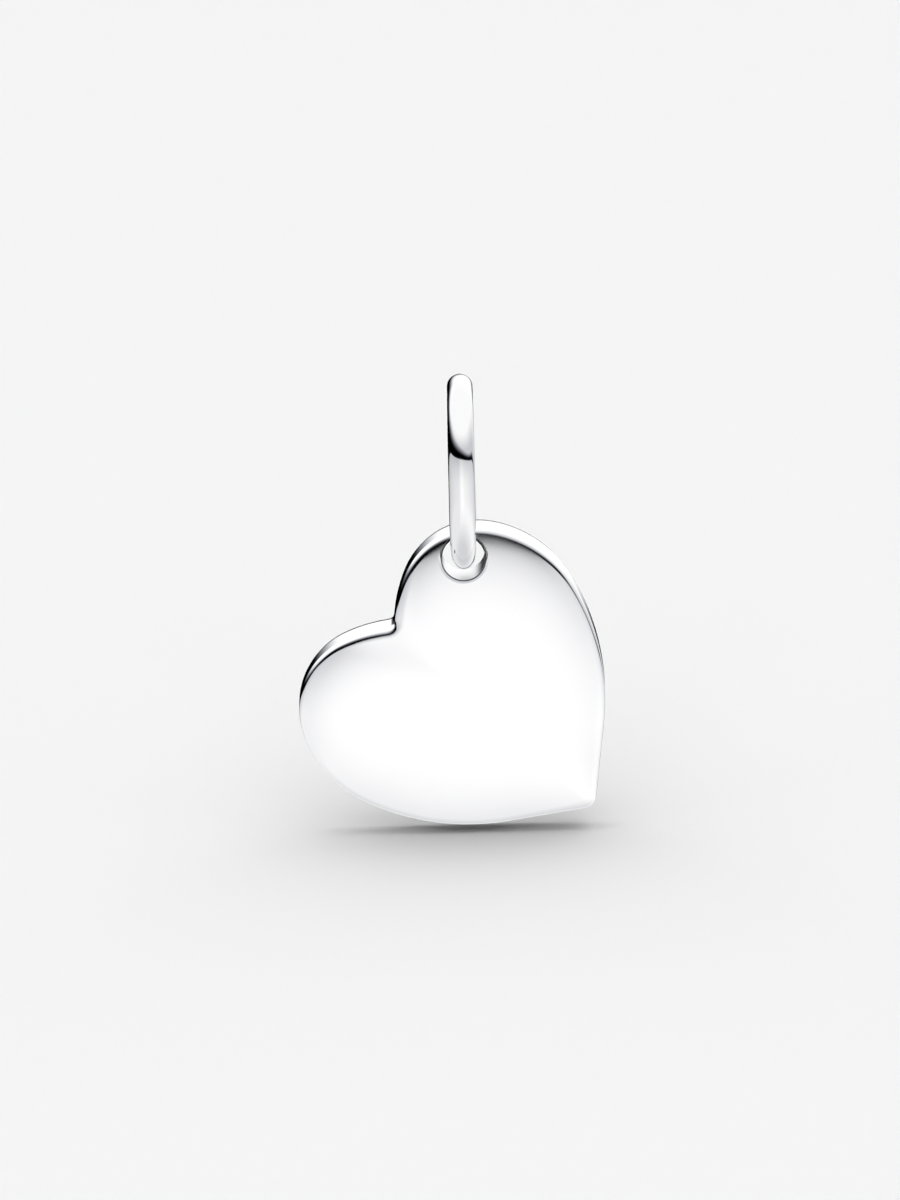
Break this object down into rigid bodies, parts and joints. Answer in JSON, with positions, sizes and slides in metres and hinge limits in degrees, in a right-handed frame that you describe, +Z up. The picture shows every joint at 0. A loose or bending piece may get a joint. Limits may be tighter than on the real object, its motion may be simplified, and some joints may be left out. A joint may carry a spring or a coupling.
{
  "type": "heart dangle charm",
  "caption": "Thick polished heart with a softly domed face, hanging free by a hole in one lobe from a closed oval bail that slides onto a bracelet or chain.",
  "frame": {"origin": "inside top of the bail, where a bracelet, chain or ring carries the charm", "axes": "+Z up, the heart's domed face towards -Y, +X to the right as seen from that face"},
  "size_m": [0.012, 0.0074, 0.0178],
  "materials": {
    "polished_silver": "mirror-polished sterling silver"
  },
  "bodies": {
    "bail": {"bail": "polished_silver"},
    "heart": {"heart": "polished_silver"}
  },
  "joints": [
    {"name": "heart_swing", "type": "hinge", "parent": "bail", "child": "heart", "pos_m": [0, 0, -0.006], "axis": [0, 1, 0], "range_deg": [-118, 118]}
  ]
}
